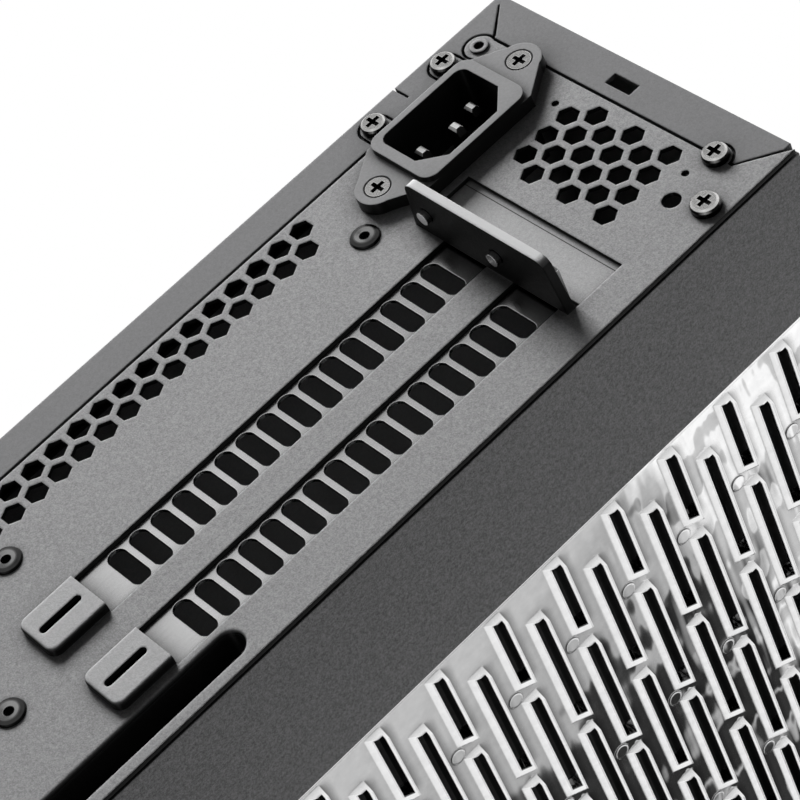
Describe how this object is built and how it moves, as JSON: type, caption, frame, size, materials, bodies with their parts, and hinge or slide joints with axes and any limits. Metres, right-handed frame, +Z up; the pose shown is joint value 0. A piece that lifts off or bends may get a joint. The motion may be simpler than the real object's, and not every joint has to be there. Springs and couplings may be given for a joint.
{
  "type": "small form factor computer case",
  "caption": "Slim upright computer case in powder-coated sheet steel with a vented rear, covered expansion slots, a mains inlet and a pull-off side panel holding a bright louvred grille",
  "frame": {"origin": "On the floor under the middle of the case, at the bottom of the feet.", "axes": "Z is up the case; +Y points out of the rear panel; the removable side panel faces -X."},
  "size_m": [0.085, 0.3548, 0.376],
  "materials": {
    "coated_steel": "fine-grained dark powder coat",
    "rear_steel": "fine-grained dark powder coat",
    "bare_steel": "plated sheet",
    "plated_grille": "bright plated moulding",
    "clear_plastic": "clear moulding, glossy",
    "black_plastic": "moulded",
    "nickel": "bright plated",
    "yellow_brass": "turned",
    "front_plastic": "fine grained moulding",
    "foot_rubber": "moulded",
    "circuit_board": "coated laminate",
    "black_rivet": "blackened"
  },
  "bodies": {
    "case": {"outer_shell": "coated_steel", "rear_panel": "rear_steel", "finger_cup": "rear_steel", "slot_cover_1": "bare_steel", "slot_cover_2": "bare_steel", "slot_window_plate": "rear_steel", "rear_stiffener": "bare_steel", "panel_catch": "bare_steel", "mains_inlet": "black_plastic", "inlet_pins": "nickel", "board_tray": "coated_steel", "standoffs": "yellow_brass", "card_shelf": "coated_steel", "supply_bracket": "coated_steel", "front_panel": "front_plastic", "feet": "foot_rubber", "riser_spacers": "nickel", "riser_board": "circuit_board", "riser_socket": "black_plastic", "front_board": "circuit_board", "push_switch": "black_plastic", "usb_sockets": "nickel", "headset_jack": "black_plastic", "indicator_lens": "clear_plastic", "panel_screws": "nickel", "inlet_screws": "nickel", "slot_cover_screws": "nickel", "rivets": "black_rivet"},
    "side_cover": {"side_panel": "coated_steel", "louvre_grille": "plated_grille"},
    "button": {"power_button": "front_plastic"}
  },
  "joints": [
    {"name": "side_panel_pull", "type": "slide", "parent": "case", "child": "side_cover", "axis": [-1, 0, 0], "range_m": [0, 0.12]},
    {"name": "power_button_press", "type": "slide", "parent": "case", "child": "button", "axis": [0, 1, 0], "range_m": [0, 0.0012], "stiffness_N_per_m": 1500}
  ]
}
